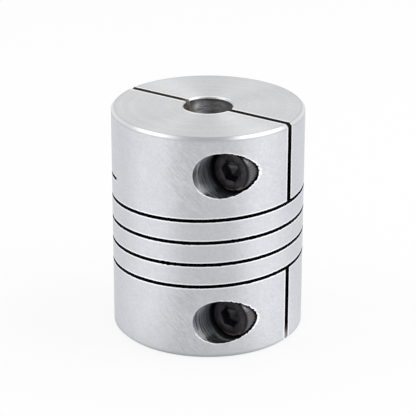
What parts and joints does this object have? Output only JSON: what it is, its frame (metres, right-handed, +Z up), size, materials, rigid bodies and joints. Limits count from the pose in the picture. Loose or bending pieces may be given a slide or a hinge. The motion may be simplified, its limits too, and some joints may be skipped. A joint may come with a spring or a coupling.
{
  "type": "shaft coupling",
  "caption": "One-piece flexible shaft coupling: turned aluminium cylinder with a helical slit along its middle and a split clamping hub with a socket-head screw at each end.",
  "frame": {"origin": "centre of the lower end face, on the bore's axis", "axes": "+Z up along the bore; +X from the bore to the clamp slots' open side; the screw heads face -Y"},
  "size_m": [0.025, 0.025, 0.03],
  "materials": {
    "turned_aluminium": "fine turned, bare",
    "black_steel": "black oxide, lightly oiled"
  },
  "bodies": {
    "root": {"coupling_body": "turned_aluminium", "upper_clamp_screw": "black_steel", "lower_clamp_screw": "black_steel"}
  },
  "joints": []
}
